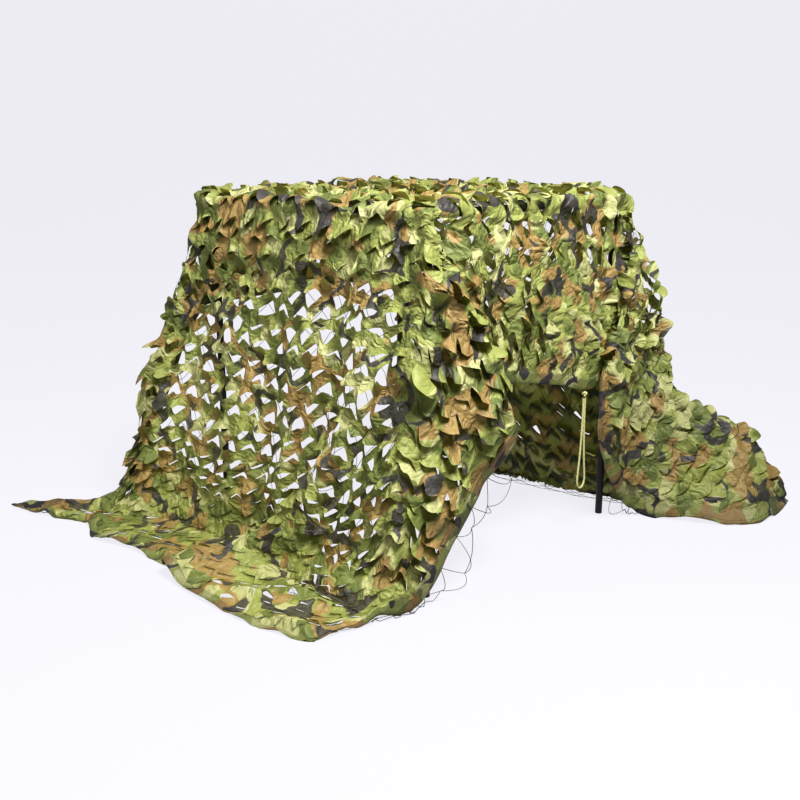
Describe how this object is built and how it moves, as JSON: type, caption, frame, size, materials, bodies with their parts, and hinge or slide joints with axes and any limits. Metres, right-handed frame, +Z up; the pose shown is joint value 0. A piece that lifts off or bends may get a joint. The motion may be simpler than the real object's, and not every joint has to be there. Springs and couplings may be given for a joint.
{
  "type": "camouflage net over a square tube frame",
  "caption": "Rectangular incised camouflage net with taped edges and a rope tie loop, draped over a square tube frame so that two ends run out on the floor and two sides hang short.",
  "frame": {"origin": "on the floor, under the middle of the whole model's outer box", "axes": "+Z up; the frame's sides lie along X and Y; -Y is the side whose long end runs out in front of the camera, +X the short open side with the tie loop"},
  "size_m": [1.3684, 1.367, 0.7415],
  "materials": {
    "net": "incised woven polyester with a woodland print, slightly translucent",
    "binding": "woven tape with a darker print, stitched",
    "rope": "laid pale olive cord",
    "frame_paint": "satin black paint",
    "joint_plastic": "matte black"
  },
  "bodies": {
    "root": {"net": "net", "binding_front": "binding", "binding_door": "binding", "binding_back": "binding", "binding_short": "binding", "tie_loop": "rope", "tie_knot": "rope", "leg_front": "frame_paint", "leg_right": "frame_paint", "leg_back": "frame_paint", "leg_left": "frame_paint", "rail_front": "frame_paint", "rail_door": "frame_paint", "rail_back": "frame_paint", "rail_short": "frame_paint", "joint_front": "joint_plastic", "joint_right": "joint_plastic", "joint_back": "joint_plastic", "joint_left": "joint_plastic"}
  },
  "joints": []
}
